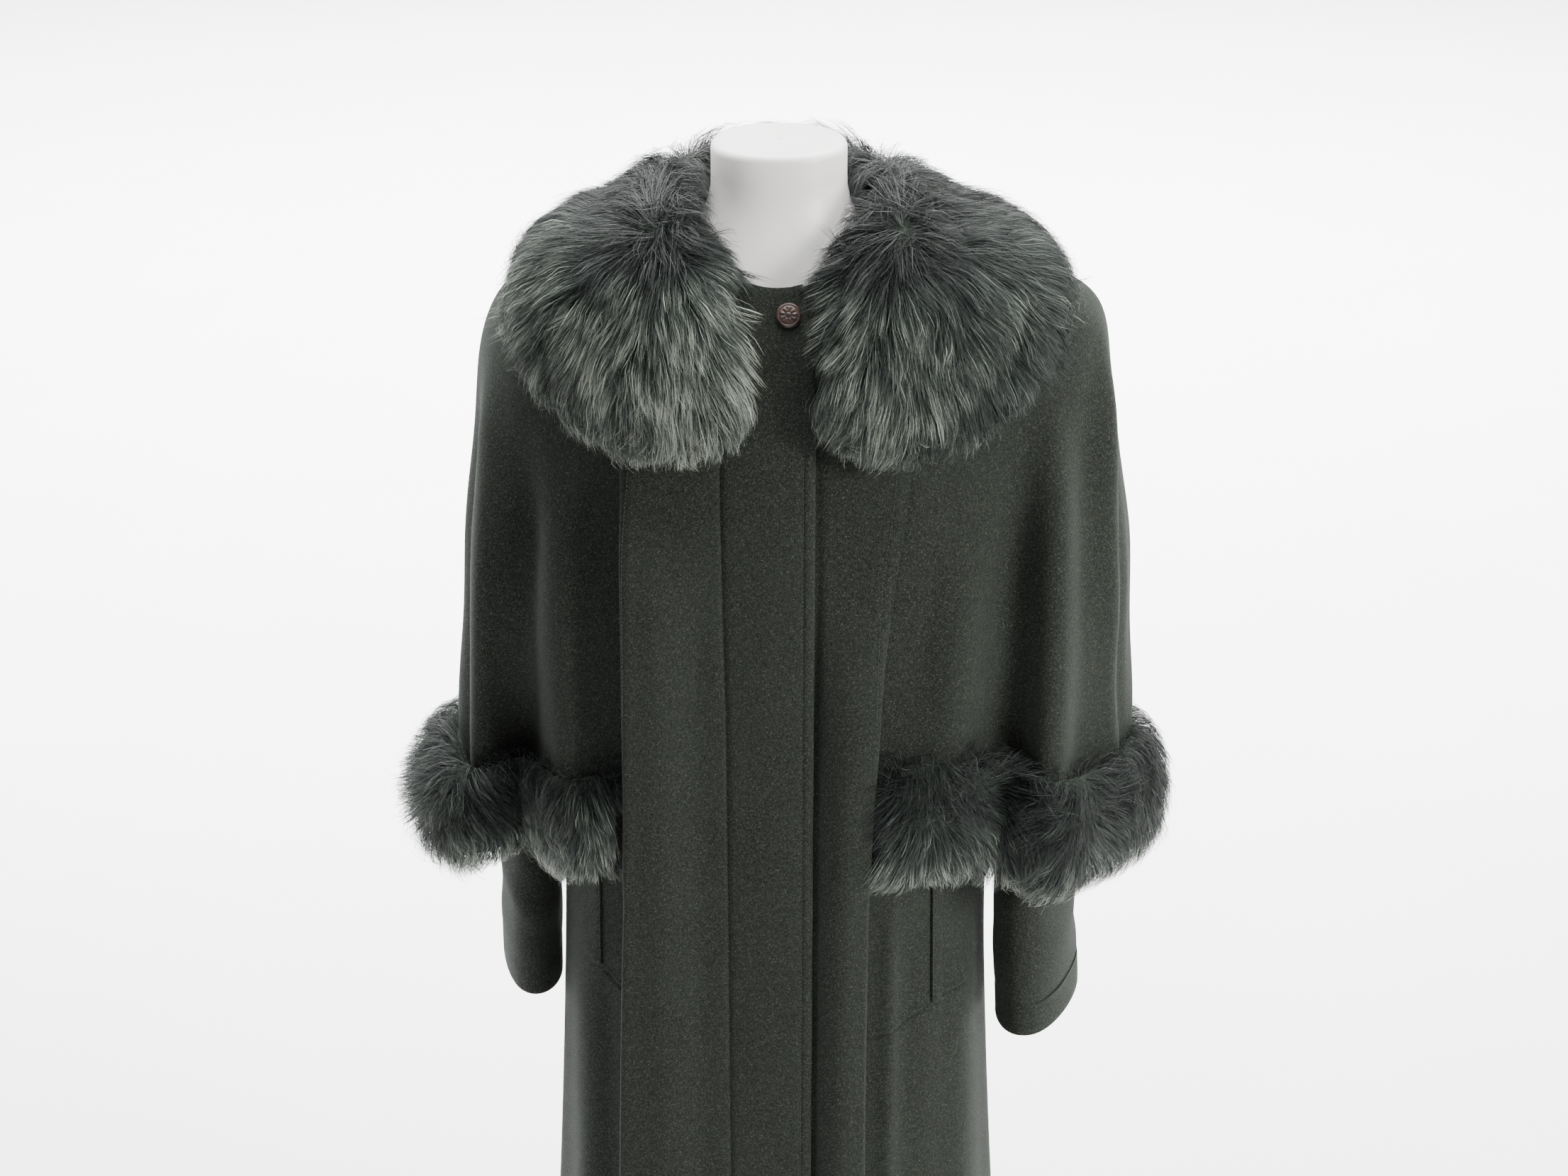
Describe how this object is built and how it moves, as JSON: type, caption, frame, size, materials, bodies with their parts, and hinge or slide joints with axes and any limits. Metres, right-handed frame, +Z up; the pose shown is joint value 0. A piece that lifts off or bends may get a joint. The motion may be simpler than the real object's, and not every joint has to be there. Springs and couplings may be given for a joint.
{
  "type": "loden cape coat on dress form",
  "caption": "Long green loden coat with an elbow-length cape, a fur band round the cape's hem and a round fur collar, standing on a white limbless dress form with a pole and round base.",
  "frame": {"origin": "centre of the stand's underside, on the floor", "axes": "+Z up the pole, the coat's front faces -Y, the wearer's left is +X"},
  "size_m": [0.6975, 0.41, 1.5],
  "materials": {
    "loden": "matt, napped",
    "fur": "long fur",
    "horn": "carved, satin",
    "form": "satin",
    "steel": "brushed"
  },
  "bodies": {
    "root": {"coat_back": "loden", "front_right_side": "loden", "front_left_side": "loden", "front_right_centre": "loden", "front_left_centre": "loden", "placket": "loden", "welt_right": "loden", "welt_left": "loden", "sleeve_right": "loden", "sleeve_left": "loden", "cape": "loden", "cape_trim": "fur", "fur_collar": "fur", "button": "horn", "form_torso": "form", "form_pole": "steel", "form_base": "steel"}
  },
  "joints": []
}
